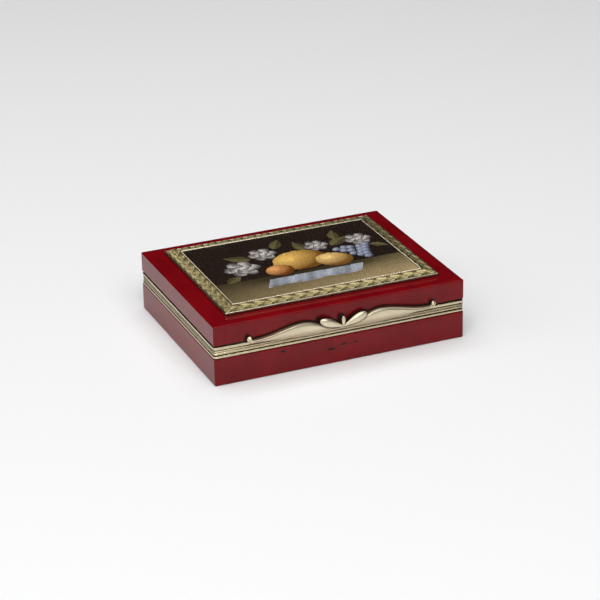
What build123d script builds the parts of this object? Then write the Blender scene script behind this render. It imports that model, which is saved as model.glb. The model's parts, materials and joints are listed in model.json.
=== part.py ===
from build123d import *
from math import radians, tan
import os

# A gold-mounted snuffbox of red hardstone: a hollowed base and a hollowed lid, each with a
# moulded gold rim, hinged along the back, with a mosaic plaque in a chased gold frame on top
# and a winged gold thumbpiece at the front.
#
# Millimetres. +X runs along the box to the right, +Y to the back, +Z up.
# The origin is the middle of the underside, on the surface that the box stands on.

# The two stones
box_length = 84.0
box_depth = 64.6
base_stone_height = 9.1
lid_stone_height = 6.8
stone_wall = 3.6
base_floor = 3.0
lid_roof = 3.0
stone_corner_radius = 0.4
stone_edge_radius = 0.45
lid_edge_radius = 0.35
lid_crown_width = 1.8
lid_crown_drop = 0.3
cavity_corner_radius = 2.0

# The gold rims between the stones
rim_height = 2.05
parting_gap = 0.08
rim_proud = 0.05
rim_corner_radius = 1.0
base_bead_height = 0.95
lid_bead_height = 0.56
lid_neck_height = 0.35
bead_crest = 0.04
groove_width = 0.16
groove_depth = 0.35
flat_edge_radius = 0.12

# Sheet gold inside, and the upstand that the lid closes over
lining_sheet = 0.4
lining_lip = 0.5
bezel_wall = 0.6
bezel_stand = 1.5
lid_clearance = 0.15
bezel_top_clearance = 0.3

# Pegs that key the rims and the plaque's frame into the stones
peg_radius = 0.55
peg_length = 2.0
peg_clearance = 0.05
peg_end_distance = 9.0

# Hinge
lid_opening = 100.0
bevel_clearance = 0.12
bevel_spare_angle = 3.0
hinge_end_margin = 9.0
knuckle_count = 9
knuckle_radius = 1.2
knuckle_inset = 0.1
knuckle_gap = 0.06
knuckle_foot_width = 1.6
trough_clearance = 0.1
bearer_sheet = 0.3
bearer_margin = 0.7
hinge_end_gap = 0.15
pin_radius = 0.5
pin_clearance = 0.03
plug_depth = 1.5
plug_clearance = 0.01
plug_head = 0.3

# Mosaic plaque and its frame
frame_side_margin = 6.1
frame_front_margin = 5.35
frame_wire_width = 0.5
frame_wire_height = 1.12
frame_wire_radius = 0.2
frame_band_width = 3.4
frame_band_outer_height = 1.0
frame_band_inner_height = 1.3
frame_peg_radius = 0.45
frame_peg_spacing = 40.0
tray_wall = 0.45
tray_floor = 0.5
tray_sink = 0.7
tray_clearance = 0.1
mosaic_height = 1.6
tessera_height = 0.8
mosaic_edge_cover = 0.1
mosaic_bezel_height = 0.35
mosaic_bezel_radius = 0.15

# Thumbpiece: a pair of wings with rolled tips, two petals and a bud
wing_proud = 2.0
wing_foot_proud = 0.35
wing_lean_height = 3.2
wing_lean_slope = 0.8
wing_edge_radius = 0.35
wing_half_span = 30.7
wing_foot = 0.12
wing_waist_rise = 1.7
wing_waist_slope = 0.15
wing_shoulder_distance = 8.0
wing_shoulder_rise = 3.6
wing_peak_distance = 13.4
wing_peak_rise = 4.84
wing_tail_distance = 24.0
wing_tail_rise = 2.95
wing_tail_width = 1.5
wing_tip_rise = 2.34
wing_tip_width = 0.85
wing_belly_distance = 15.0
scroll_radius = 0.85
scroll_rise = 3.1
scroll_stand = 1.4
petal_length = 8.1
petal_width = 2.3
petal_angle = 21.5
petal_root_distance = 0.3
petal_root_rise = 1.8
drop_stand = 1.75
bud_width = 1.25
bud_length = 3.3
bud_root_rise = 1.6
drop_fullest = 0.64
drop_flare = 0.3
joint_gap = 0.02

# Heights worked out from the above
parting_height = base_stone_height + rim_height
hinge_z = parting_height
base_rim_top = parting_height - parting_gap / 2
lid_rim_bottom = parting_height + parting_gap / 2
lid_stone_bottom = parting_height + rim_height
lid_top = lid_stone_bottom + lid_stone_height
bezel_foot_height = base_stone_height + lining_lip
bezel_top = parting_height + bezel_stand
lid_lining_bottom = bezel_top + bezel_top_clearance
mosaic_top = lid_top + mosaic_height

# Plan sizes worked out from the above
cavity_length = box_length - 2 * stone_wall
cavity_depth = box_depth - 2 * stone_wall
lid_cavity_length = cavity_length + 2 * lid_clearance
lid_cavity_depth = cavity_depth + 2 * lid_clearance
lid_cavity_radius = cavity_corner_radius + lid_clearance
rim_length = box_length + 2 * rim_proud
rim_depth = box_depth + 2 * rim_proud
stone_front = -box_depth / 2
rim_front = -rim_depth / 2
hinge_y = box_depth / 2 - knuckle_inset - knuckle_radius
hinge_length = box_length - 2 * hinge_end_margin
trough_half_height = knuckle_radius + trough_clearance
stand_up = (Align.CENTER, Align.CENTER, Align.MIN)
frame_length = box_length - 2 * frame_side_margin
frame_depth = box_depth - 2 * frame_front_margin
band_inner_length = frame_length - 2 * (frame_wire_width + frame_band_width)
band_inner_depth = frame_depth - 2 * (frame_wire_width + frame_band_width)


def slab(length, depth, radius, bottom, top):
    """A level plate with rounded corners, centred on the box."""
    outline = RectangleRounded(length, depth, radius) if radius else Rectangle(length, depth)
    return extrude(Plane.XY.offset(bottom) * outline, top - bottom)


def ring(length, depth, radius, wall, bottom, top):
    """A level rectangular ring: a plate with its middle cut out, wall wide all round."""
    hole_radius = max(radius - wall, 0)
    outer = slab(length, depth, radius, bottom, top)
    return outer - slab(length - 2 * wall, depth - 2 * wall, hole_radius, bottom, top)


def block(x_from, x_to, y_from, y_to, z_from, z_to):
    """A plain rectangular block between two corners."""
    size = (x_to - x_from, y_to - y_from, z_to - z_from)
    middle = ((x_from + x_to) / 2, (y_from + y_to) / 2, (z_from + z_to) / 2)
    return Pos(*middle) * Box(*size)


def rounded_base():
    """The base's block, with crisp upright corners and softened level edges."""
    stone = slab(box_length, box_depth, stone_corner_radius, 0, base_stone_height)
    return fillet(level_edges(stone), stone_edge_radius)


def crowned_lid():
    """The lid's block: its top falls a little towards all four sides, in a broad soft margin."""
    brow = lid_top - lid_crown_drop
    upright = slab(box_length, box_depth, stone_corner_radius, lid_stone_bottom, brow)
    flat_length = box_length - 2 * lid_crown_width
    flat_depth = box_depth - 2 * lid_crown_width
    crown = loft([Plane.XY.offset(brow) * RectangleRounded(box_length, box_depth, stone_corner_radius),
                  Plane.XY.offset(lid_top) * RectangleRounded(flat_length, flat_depth, stone_corner_radius)],
                 ruled=True)
    stone = upright + crown
    level = stone.edges().filter_by(lambda edge: edge.bounding_box().size.Z < joint_gap)
    stone = fillet(level.filter_by_position(Axis.Z, brow - joint_gap, brow + joint_gap), lid_edge_radius)
    return fillet(stone.faces().sort_by(Axis.Z)[0].edges(), stone_edge_radius)


def wall_peg_places():
    """The places of the pegs, along the middle of the stone wall on all four sides."""
    across = box_depth / 2 - stone_wall / 2
    along = box_length / 2 - stone_wall / 2
    run_x = along - peg_end_distance
    run_y = across - peg_end_distance
    sides = [(x, y) for x in (-run_x, run_x) for y in (-across, across)]
    return sides + [(x, y) for x in (-along, along) for y in (-run_y, run_y)]


def pegs(places, radius, bottom, top):
    """Upright round pegs at the given places, as separate solids."""
    rods = [Pos(x, y, bottom) * Cylinder(radius, top - bottom, align=stand_up) for x, y in places]
    return Compound(rods)


def hinge_cut(below):
    """The space that the hinge takes out of one rim, up to the bearer's outer faces."""
    reach = trough_half_height + bearer_sheet
    half_run = hinge_length / 2 + plug_head + hinge_end_gap
    z_from, z_to = (hinge_z - reach, base_rim_top) if below else (lid_rim_bottom, hinge_z + reach)
    return block(-half_run, half_run, hinge_y - reach, rim_depth / 2, z_from, z_to)


def back_bevel():
    """The wedge cut from both rims' back edges, so that they clear each other as the lid opens."""
    apex = hinge_y - bevel_clearance
    far = rim_depth / 2
    rise = (far - apex) * tan(radians(lid_opening / 2 + bevel_spare_angle))
    corners = [(apex, hinge_z), (far, hinge_z - rise), (far, hinge_z + rise)]
    section = Plane.YZ.offset(-rim_length / 2) * Polygon(*corners, align=None)
    return extrude(section, rim_length)


def rim(below):
    """One gold rim: a half-round bead at the parting line, a groove and a flat strip.

    The lid's rim also has a neck between its flat strip and the stone.
    """
    bottom, top = (base_stone_height, base_rim_top) if below else (lid_rim_bottom, lid_stone_bottom)
    bead_height = base_bead_height if below else lid_bead_height
    bead = (top - bead_height, top) if below else (bottom, bottom + bead_height)
    flat = (bottom, bead[0] - groove_width) if below else (bead[1] + groove_width, top - lid_neck_height)
    core_radius = rim_corner_radius - groove_depth
    core = slab(rim_length - 2 * groove_depth, rim_depth - 2 * groove_depth, core_radius, bottom, top)
    half_round = slab(rim_length, rim_depth, rim_corner_radius, *bead)
    half_round = fillet(level_edges(half_round), (bead_height - bead_crest) / 2)
    band = slab(rim_length, rim_depth, rim_corner_radius, *flat)
    band = fillet(level_edges(band), flat_edge_radius)
    body = core + half_round + band
    if below:
        hollow = slab(cavity_length, cavity_depth, cavity_corner_radius, bottom, top)
    else:
        hollow = slab(lid_cavity_length, lid_cavity_depth, lid_cavity_radius, bottom, top)
        body += thumb_land()
    return body - hollow - hinge_cut(below) - back_bevel()


def level_edges(plate):
    """All the edges of a plate's top and bottom faces."""
    faces = plate.faces().sort_by(Axis.Z)
    return faces[0].edges() + faces[-1].edges()


def thumb_land():
    """A flat on the lid's rim, behind the middle of the thumbpiece, that the wings lie on."""
    half_run = wing_belly_distance
    return block(-half_run, half_run, rim_front, stone_front + stone_wall,
                 lid_rim_bottom, lid_stone_bottom)


def base_block():
    """The hollowed base stone."""
    stone = rounded_base()
    stone -= slab(cavity_length, cavity_depth, cavity_corner_radius, base_floor, base_stone_height)
    holes = pegs(wall_peg_places(), peg_radius + peg_clearance,
                 base_stone_height - peg_length - peg_clearance, base_stone_height)
    return stone - holes


def lid_block():
    """The hollowed lid stone, with the plaque's shallow recess in its top."""
    stone = crowned_lid()
    stone -= slab(lid_cavity_length, lid_cavity_depth, lid_cavity_radius,
                  lid_stone_bottom, lid_top - lid_roof)
    recess_length = band_inner_length + 2 * tray_clearance
    recess_depth = band_inner_depth + 2 * tray_clearance
    stone -= slab(recess_length, recess_depth, 0, lid_top - tray_sink, lid_top)
    stone -= pegs(wall_peg_places(), peg_radius + peg_clearance,
                  lid_stone_bottom, lid_stone_bottom + peg_length + peg_clearance)
    return stone - pegs(frame_peg_places(), frame_peg_radius + peg_clearance,
                        lid_top - peg_length - peg_clearance, lid_top)


def base_lining():
    """A sheet-gold tray that lines the base's hollow up to just above the stone."""
    top = base_stone_height + lining_lip
    tray = slab(cavity_length, cavity_depth, cavity_corner_radius, base_floor, top)
    inside = slab(cavity_length - 2 * lining_sheet, cavity_depth - 2 * lining_sheet,
                  cavity_corner_radius - lining_sheet, base_floor + lining_sheet, top)
    return tray - inside


def lid_lining():
    """A sheet-gold pan that lines the lid's hollow, down to just above the bezel."""
    roof = lid_top - lid_roof
    pan = slab(lid_cavity_length, lid_cavity_depth, lid_cavity_radius, lid_lining_bottom, roof)
    inside = slab(lid_cavity_length - 2 * lining_sheet, lid_cavity_depth - 2 * lining_sheet,
                  lid_cavity_radius - lining_sheet, lid_lining_bottom, roof - lining_sheet)
    return pan - inside


def base_bezel():
    """The upstand inside the base's rim, which the lid closes over."""
    return ring(cavity_length, cavity_depth, cavity_corner_radius, bezel_wall,
                bezel_foot_height, bezel_top)


def hinge_bearer(below):
    """An angle of sheet gold in one rim, with the knuckles soldered in its corner."""
    reach = trough_half_height + bearer_sheet
    half_run = hinge_length / 2 + plug_head + hinge_end_gap
    inner = hinge_y - reach
    leg_end = parting_gap / 2
    if below:
        shelf = (hinge_z - reach, hinge_z - trough_half_height)
        leg = (hinge_z - trough_half_height, hinge_z - leg_end)
    else:
        shelf = (hinge_z + trough_half_height, hinge_z + reach)
        leg = (hinge_z + leg_end, hinge_z + trough_half_height)
    back = box_depth / 2 - bearer_margin
    return (block(-half_run, half_run, inner, back, *shelf)
            + block(-half_run, half_run, inner, inner + bearer_sheet, *leg))


def knuckle(middle, length, below):
    """One hinge tube with a flat foot that stands on its own bearer."""
    tube = Pos(middle, hinge_y, hinge_z) * Rot(0, 90, 0) * Cylinder(knuckle_radius, length)
    foot_z = (-trough_half_height, 0) if below else (0, trough_half_height)
    foot = block(middle - length / 2, middle + length / 2,
                 hinge_y - knuckle_foot_width / 2, hinge_y + knuckle_foot_width / 2,
                 hinge_z + foot_z[0], hinge_z + foot_z[1])
    bore_radius = pin_radius + pin_clearance
    bore = Pos(middle, hinge_y, hinge_z) * Rot(0, 90, 0) * Cylinder(bore_radius, length)
    return tube + foot - bore


def knuckles(below):
    """Every other tube of the hinge; the base has the first and the last."""
    pitch = hinge_length / knuckle_count
    first = 0 if below else 1
    middles = [-hinge_length / 2 + pitch * (i + 0.5) for i in range(first, knuckle_count, 2)]
    return Compound([knuckle(x, pitch - knuckle_gap, below) for x in middles])


def hinge_pin():
    """The hinge's wire, stopped at both ends by the plugs."""
    length = hinge_length - knuckle_gap - 2 * plug_depth
    return Pos(0, hinge_y, hinge_z) * Rot(0, 90, 0) * Cylinder(pin_radius, length)


def hinge_plugs():
    """Two headed plugs that close the ends of the hinge."""
    end = (hinge_length - knuckle_gap) / 2
    shank_radius = pin_radius + pin_clearance - plug_clearance
    shank = Pos(0, 0, -plug_depth) * Cylinder(shank_radius, plug_depth, align=stand_up)
    head = Cylinder(knuckle_radius, plug_head, align=stand_up)
    head = chamfer(head.faces().sort_by(Axis.Z)[-1].edges(), plug_head / 2)
    plug = shank + head
    right = Pos(end, hinge_y, hinge_z) * Rot(0, 90, 0) * plug
    left = Pos(-end, hinge_y, hinge_z) * Rot(0, -90, 0) * plug
    return Compound([left, right])


def frame_peg_places():
    """Two pegs under each long side of the plaque's frame and one under each short side."""
    inset = frame_wire_width + frame_band_width / 2
    x_side = frame_length / 2 - inset
    y_side = frame_depth / 2 - inset
    long_sides = [(x, y) for x in (-frame_peg_spacing / 2, frame_peg_spacing / 2)
                  for y in (-y_side, y_side)]
    return long_sides + [(-x_side, 0), (x_side, 0)]


def mosaic_tray():
    """The metal tray that holds the mosaic, let into the lid."""
    floor = lid_top - tray_sink
    tray = slab(band_inner_length, band_inner_depth, 0, floor, mosaic_top)
    inside = slab(band_inner_length - 2 * tray_wall, band_inner_depth - 2 * tray_wall, 0,
                  floor + tray_floor, mosaic_top)
    return tray - inside


def mosaic_bed():
    """The mastic that the glass threads are set in."""
    return slab(band_inner_length - 2 * tray_wall, band_inner_depth - 2 * tray_wall, 0,
                lid_top - tray_sink + tray_floor, mosaic_top - tessera_height)


def mosaic_panel():
    """The ground and polished face of the mosaic."""
    return slab(band_inner_length - 2 * tray_wall, band_inner_depth - 2 * tray_wall, 0,
                mosaic_top - tessera_height, mosaic_top)


def mosaic_bezel():
    """The bright wire round the mosaic, on top of the tray's wall."""
    wall = tray_wall + mosaic_edge_cover
    wire = ring(band_inner_length, band_inner_depth, 0, wall,
                mosaic_top, mosaic_top + mosaic_bezel_height)
    return fillet(wire.faces().sort_by(Axis.Z)[-1].edges(), mosaic_bezel_radius)


def frame_wire():
    """The outer wire of the plaque's frame, standing on the lid."""
    wire = ring(frame_length, frame_depth, 0, frame_wire_width, lid_top, lid_top + frame_wire_height)
    return fillet(wire.faces().sort_by(Axis.Z)[-1].edges(), frame_wire_radius)


def frame_band():
    """The whole chased border inside the wire, rising a little towards the mosaic."""
    length = frame_length - 2 * frame_wire_width
    depth = frame_depth - 2 * frame_wire_width
    low = lid_top + frame_band_outer_height
    high = lid_top + frame_band_inner_height
    plinth = slab(length, depth, 0, lid_top, low)
    slope = loft([Plane.XY.offset(low) * Rectangle(length, depth),
                  Plane.XY.offset(high) * Rectangle(band_inner_length, band_inner_depth)], ruled=True)
    return plinth + slope - slab(band_inner_length, band_inner_depth, 0, lid_top, high)


def frame_side(side):
    """One side of the chased border, mitred at both ends."""
    out_x, out_y = frame_length / 2 - frame_wire_width, frame_depth / 2 - frame_wire_width
    in_x, in_y = band_inner_length / 2, band_inner_depth / 2
    corners = {
        "front": [(-out_x, -out_y), (out_x, -out_y), (in_x, -in_y), (-in_x, -in_y)],
        "back": [(-in_x, in_y), (in_x, in_y), (out_x, out_y), (-out_x, out_y)],
        "left": [(-out_x, -out_y), (-in_x, -in_y), (-in_x, in_y), (-out_x, out_y)],
        "right": [(in_x, -in_y), (out_x, -out_y), (out_x, out_y), (in_x, in_y)],
    }
    plan = Polygon(*corners[side], align=None)
    return frame_band() & extrude(Plane.XY.offset(lid_top) * plan, frame_band_inner_height)


def wing_outline():
    """The right wing, as a face in X and Z: a swelling curve above, a rising curve below."""
    foot = lid_rim_bottom + wing_foot
    waist = (0, lid_rim_bottom + wing_waist_rise)
    shoulder = (wing_shoulder_distance, foot + wing_shoulder_rise)
    peak = (wing_peak_distance, foot + wing_peak_rise)
    tail = (wing_tail_distance, foot + wing_tail_rise)
    tip = (wing_half_span, foot + wing_tip_rise)
    upper = Spline(waist, shoulder, peak, tail, tip, tangents=[(1, wing_waist_slope), (1, 0)])
    end = Line(tip, (wing_half_span, tip[1] - wing_tip_width))
    belly = (wing_belly_distance, foot)
    under_tail = (wing_tail_distance, tail[1] - wing_tail_width)
    lower = Spline(end @ 1, under_tail, belly, tangents=[(-1, 0), (-1, 0)])
    sole = Line(belly, (0, foot))
    return make_face([upper, end, lower, sole, Line((0, foot), waist)])


def from_front(sketch, front, back):
    """A solid from a face drawn in X and Z, between two planes across the box."""
    turned = Plane.XZ * sketch
    return Pos(0, back, 0) * extrude(turned, abs(back - front))


def wing_lean():
    """The space that both wings fill, seen from the side: leaning out from the rim as they rise."""
    foot = lid_rim_bottom + wing_foot
    low = (stone_front - wing_foot_proud, foot)
    high = (stone_front - wing_proud, foot + wing_lean_height)
    face = Spline(low, high, tangents=[(-1, wing_lean_slope), (0, 1)])
    back = Polyline(high, (high[0], lid_top), (stone_front, lid_top), (stone_front, foot), low)
    section = Plane.YZ.offset(-box_length / 2) * make_face([face, back])
    return extrude(section, box_length)


def thumb_wings():
    """Both wings in one piece, lying on the lid's rim and on the stone above it."""
    right = from_front(wing_outline(), stone_front - wing_proud, stone_front)
    front = right.faces().sort_by(Axis.Y)[0]
    right = fillet(front.edges().filter_by(GeomType.BSPLINE), wing_edge_radius)
    right = right & wing_lean()
    right -= block(0, box_length / 2, rim_front, stone_front, lid_rim_bottom, lid_stone_bottom)
    right -= thumb_scroll(1, joint_gap)
    return right + mirror(right, Plane.YZ)


def thumb_scroll(side, gap=0.0):
    """The rolled tip of one wing: a small ball that sits in the end of its upper edge."""
    place = Pos(side * wing_half_span, stone_front - scroll_stand, lid_rim_bottom + scroll_rise)
    return place * Sphere(scroll_radius + gap)


def drop(length, width):
    """A round-ended drop along +X: thin at its root, fullest beyond the middle."""
    fullest = (drop_fullest * length, width / 2)
    root_side = Spline((0, 0), fullest, tangents=[(1, drop_flare), (1, 0)])
    end_side = Spline(fullest, (length, 0), tangents=[(1, 0), (0, -1)])
    return revolve(make_face([root_side, end_side, Line((length, 0), (0, 0))]), Axis.X)


def before_stone(x, rise):
    """The place of a drop's root, in front of the lid's stone."""
    return Pos(x, stone_front - drop_stand, lid_rim_bottom + rise)


def thumb_petal(side):
    """One petal, leaning outwards from the middle of the thumbpiece."""
    root = before_stone(petal_root_distance, petal_root_rise)
    petal = root * Rot(0, -petal_angle, 0) * drop(petal_length, petal_width)
    petal = petal - block(-box_length / 2, 0, -box_depth, 0, 0, mosaic_top) - thumb_wings()
    return petal if side > 0 else mirror(petal, Plane.YZ)


def thumb_bud():
    """The small upright bud between the petals."""
    bud = before_stone(0, bud_root_rise) * Rot(0, -90, 0) * drop(bud_length, bud_width)
    return bud - thumb_wings() - thumb_petal(1) - thumb_petal(-1)


pieces = {
    "base_block": base_block(),
    "base_rim": rim(below=True),
    "base_mount_pegs": pegs(wall_peg_places(), peg_radius,
                            base_stone_height - peg_length, base_stone_height),
    "base_lining": base_lining(),
    "base_bezel": base_bezel(),
    "base_hinge_bearer": hinge_bearer(below=True),
    "base_knuckles": knuckles(below=True),
    "hinge_pin": hinge_pin(),
    "hinge_plugs": hinge_plugs(),
    "lid_block": lid_block(),
    "lid_rim": rim(below=False),
    "lid_mount_pegs": pegs(wall_peg_places(), peg_radius,
                           lid_stone_bottom, lid_stone_bottom + peg_length),
    "lid_lining": lid_lining(),
    "lid_hinge_bearer": hinge_bearer(below=False),
    "lid_knuckles": knuckles(below=False),
    "mosaic_tray": mosaic_tray(),
    "mosaic_bed": mosaic_bed(),
    "mosaic_panel": mosaic_panel(),
    "mosaic_bezel": mosaic_bezel(),
    "frame_wire": frame_wire(),
    "frame_pegs": pegs(frame_peg_places(), frame_peg_radius, lid_top - peg_length, lid_top),
    "thumb_wings": thumb_wings(),
    "thumb_petal_left": thumb_petal(-1),
    "thumb_petal_right": thumb_petal(1),
    "thumb_bud": thumb_bud(),
    "thumb_scroll_left": thumb_scroll(-1),
    "thumb_scroll_right": thumb_scroll(1),
}
for name in ("front", "back", "left", "right"):
    pieces[f"frame_{name}"] = frame_side(name)

os.makedirs("parts", exist_ok=True)
for node, shape in pieces.items():
    export_step(shape, f"parts/{node}.step")
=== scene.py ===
import json

import bpy
import numpy as np
from mathutils import Matrix, Vector


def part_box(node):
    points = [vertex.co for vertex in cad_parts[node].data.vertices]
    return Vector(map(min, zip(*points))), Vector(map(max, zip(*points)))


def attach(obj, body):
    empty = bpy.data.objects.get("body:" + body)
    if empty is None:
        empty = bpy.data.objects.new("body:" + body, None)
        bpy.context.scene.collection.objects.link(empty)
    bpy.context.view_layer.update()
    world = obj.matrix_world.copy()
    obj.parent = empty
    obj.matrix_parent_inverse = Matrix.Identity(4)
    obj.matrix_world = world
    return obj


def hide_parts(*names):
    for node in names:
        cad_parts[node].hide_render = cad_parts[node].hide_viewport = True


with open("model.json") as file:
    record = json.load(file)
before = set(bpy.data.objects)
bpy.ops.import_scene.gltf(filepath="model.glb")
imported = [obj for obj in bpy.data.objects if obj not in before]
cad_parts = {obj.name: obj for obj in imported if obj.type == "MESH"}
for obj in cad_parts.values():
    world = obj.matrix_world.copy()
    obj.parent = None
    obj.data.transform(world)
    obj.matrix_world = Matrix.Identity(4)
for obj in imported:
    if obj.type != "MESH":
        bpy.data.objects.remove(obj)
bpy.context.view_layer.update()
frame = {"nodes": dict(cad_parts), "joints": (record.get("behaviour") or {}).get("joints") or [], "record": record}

# A red stone snuffbox with gold rims, a winged gold thumbpiece and a mosaic plaque in a chased
# gold border. Everything is in metres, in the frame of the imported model: the front with the
# thumbpiece faces -Y, the hinge is at the back, and the box stands on z = 0.

mm = 0.001
hair = 0.02              # keeps apart two faces that would lie on each other, in millimetres
rng = np.random.default_rng(12)

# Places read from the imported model, in millimetres
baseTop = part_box("base_block")[1][2] / mm
lidLow, lidHigh = (np.array(v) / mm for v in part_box("lid_block"))
stoneFront = lidLow[1]
stoneBack = lidHigh[1]
lidTop = lidHigh[2]
hingeJoint = frame["joints"][0]
hingeY = hingeJoint["pos_m"][1] / mm
partingZ = hingeJoint["pos_m"][2] / mm


# Shader sockets that can be written as sums


class Wire:
    # Wraps one output socket, so that an expression on values adds its Math nodes
    def __init__(self, finish, socket):
        self.finish = finish
        self.socket = socket

    def calc(self, operation, *values):
        return self.finish.node("Math", {"operation": operation}, dict(enumerate(values)))

    def __add__(self, other):
        return self.calc("ADD", self, other)

    def __sub__(self, other):
        return self.calc("SUBTRACT", self, other)

    def __rsub__(self, other):
        return self.calc("SUBTRACT", other, self)

    def __mul__(self, other):
        return self.calc("MULTIPLY", self, other)

    def __truediv__(self, other):
        return self.calc("DIVIDE", self, other)

    def __pow__(self, other):
        return self.calc("POWER", self, other)

    __radd__ = __add__
    __rmul__ = __mul__

    def abs(self):
        return self.calc("ABSOLUTE", self)

    def largest(self, other):
        return self.calc("MAXIMUM", self, other)

    def step(self, low, high):
        # 0 below low, 1 above high, and a smooth S between them (low may be above high)
        if low > high:
            return 1 - self.step(high, low)
        sockets = {"Value": self, "From Min": low, "From Max": high}
        return self.finish.node("MapRange", {"interpolation_type": "SMOOTHSTEP"}, sockets)


class Finish:
    # One material: a Principled shader with its even values set, ready for what varies
    def __init__(self, name, **even):
        self.material = bpy.data.materials.new(name)
        self.material.use_nodes = True
        self.tree = self.material.node_tree
        self.tree.nodes.clear()
        self.shader = self.tree.nodes.new("ShaderNodeBsdfPrincipled")
        output = self.tree.nodes.new("ShaderNodeOutputMaterial")
        self.tree.links.new(self.shader.outputs[0], output.inputs[0])
        for key, value in even.items():
            self.feed(self.shader.inputs[key.replace("_", " ")], value)

    def feed(self, socket, value):
        if isinstance(value, Wire):
            self.tree.links.new(value.socket, socket)
        elif isinstance(value, (tuple, list)) and socket.type == "RGBA":
            socket.default_value = (*value[:3], 1.0)
        else:
            socket.default_value = value

    def node(self, kind, settings, sockets, out=0):
        # Any node: its type, its settings (set first), the values or links of its sockets
        node = self.tree.nodes.new("ShaderNode" + kind)
        for key, value in settings.items():
            if key == "stops":
                self.stops(node.color_ramp, value)
            else:
                setattr(node, key, value)
        for key, value in sockets.items():
            self.feed(node.inputs[key], value)
        return Wire(self, node.outputs[out])

    def stops(self, ramp, stops):
        while len(ramp.elements) < len(stops):
            ramp.elements.new(0.5)
        for element, (place, colour) in zip(ramp.elements, stops):
            element.position = place
            element.color = (*colour[:3], 1.0)

    def place(self, scale=(1, 1, 1), move=(0, 0, 0)):
        # Object coordinates, in millimetres before the scale
        coords = self.node("TexCoord", {}, {}, "Object")
        sockets = {"Vector": coords, "Scale": tuple(s / mm for s in scale), "Location": move}
        return self.node("Mapping", {"vector_type": "POINT"}, sockets)

    def axis(self, name):
        # One Object coordinate, in millimetres
        return self.node("SeparateXYZ", {}, {"Vector": self.place()}, name)

    def noise(self, size, detail=2.0, roughness=0.5, stretch=(1, 1, 1), warp=0.0, move=(0, 0, 0)):
        # Soft random values from 0 to 1, with lumps about size millimetres wide
        sockets = {"Scale": 1.0, "Detail": detail, "Roughness": roughness, "Distortion": warp}
        sockets["Vector"] = self.place(tuple(s / size for s in stretch), move)
        return self.node("TexNoise", {}, sockets)

    def mix(self, factor, first, second):
        # The first colour where factor is 0, the second where it is 1
        settings = {"data_type": "RGBA", "clamp_factor": True}
        return self.node("Mix", settings, {0: factor, 6: first, 7: second}, 2)

    def read(self, attribute, out="Fac"):
        return self.node("Attribute", {"attribute_name": attribute}, {}, out)

    def bump(self, height, depth):
        # depth is the height's full range in millimetres
        return self.node("Bump", {}, {"Height": height, "Distance": depth * mm})

    def set(self, **varying):
        for key, value in varying.items():
            self.feed(self.shader.inputs[key.replace("_", " ")], value)
        return self


def smooth(low, high, value):
    # The S curve that rises from 0 at low to 1 at high, on whole arrays
    t = np.clip((value - low) / (high - low), 0, 1)
    return t * t * (3 - 2 * t)


def ovalDistance(x, z, oval):
    # The square of the distance from a leaning oval's middle, 1 on its outline: the sum of the
    # squares of the ways along it and across it, each over its half size. Takes sockets or arrays
    centreX, centreZ, halfLength, halfWidth, lean = oval
    c, k = np.cos(np.radians(lean)), np.sin(np.radians(lean))
    along = ((x - centreX) * c + (z - centreZ) * k) / halfLength
    aside = ((z - centreZ) * c - (x - centreX) * k) / halfWidth
    return along * along + aside * aside


# Materials

redStone = {
    "deep": (0.124, 0.0016, 0.0034),
    "bright": (0.180, 0.0026, 0.0056),
    "vein": (0.035, 0.0018, 0.002),
    # the colour of the flecks and of the painted shade
    "darkening": (0.010, 0.0025, 0.002),
    "roughness": 0.10,
    "ior": 1.32,
    "cloudSize": 9.0,
    # painted shade behind the thumbpiece: its height at some distances from the middle, and ovals
    # round the petals, the tips and the bud (distance, height, half length, half width, lean)
    "thumbShadeLine": [(0, 14.6), (4, 14.6), (7, 14.9), (9, 15.7), (11, 16.35), (13, 16.6), (15, 16.45),
                  (18, 15.95), (21, 15.3), (24, 14.65), (27, 14.25), (31.6, 14.1), (33, 13.3)],
    "ovalShade": [(4.6, 14.4, 4.6, 1.6, 21.5), (30.9, 14.1, 1.3, 1.25, 0), (0.0, 14.9, 1.5, 1.7, 0)],
    # dark flecks on the base's front: x, z, half width, half height, in millimetres
    "flecks": [(-19.5, 7.45, 0.8, 0.45), (-3.3, 5.0, 1.3, 0.5), (0.7, 5.9, 0.95, 0.42),
               (4.8, 6.0, 1.0, 0.36)],
    "fleckLine": {"from": -3.0, "to": 5.0, "z": 5.5, "halfWidth": 0.1},
}


def stoneFlecks(stone, x, y, z):
    # Dark ovals with ragged edges and a thin wandering line between them, on the front alone
    look = redStone
    wobble = (stone.noise(0.8, detail=3.0) - 0.5) * 1.1
    line = look["fleckLine"]
    wander = (stone.noise(3.0, detail=3.0) - 0.5) * 1.2
    onLine = (z - line["z"] + wander).abs().step(line["halfWidth"] * 2, line["halfWidth"] * 0.5)
    alongLine = x.step(line["from"], line["from"] + 1) * x.step(line["to"], line["to"] - 1)
    marks = onLine * alongLine * 0.6
    for fleck in look["flecks"]:
        marks = marks.largest((ovalDistance(x, z, (*fleck, 0)) ** 0.5 + wobble).step(1.1, 0.75))
    return marks * y.step(stoneFront + 0.4, stoneFront + 0.2)


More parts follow.
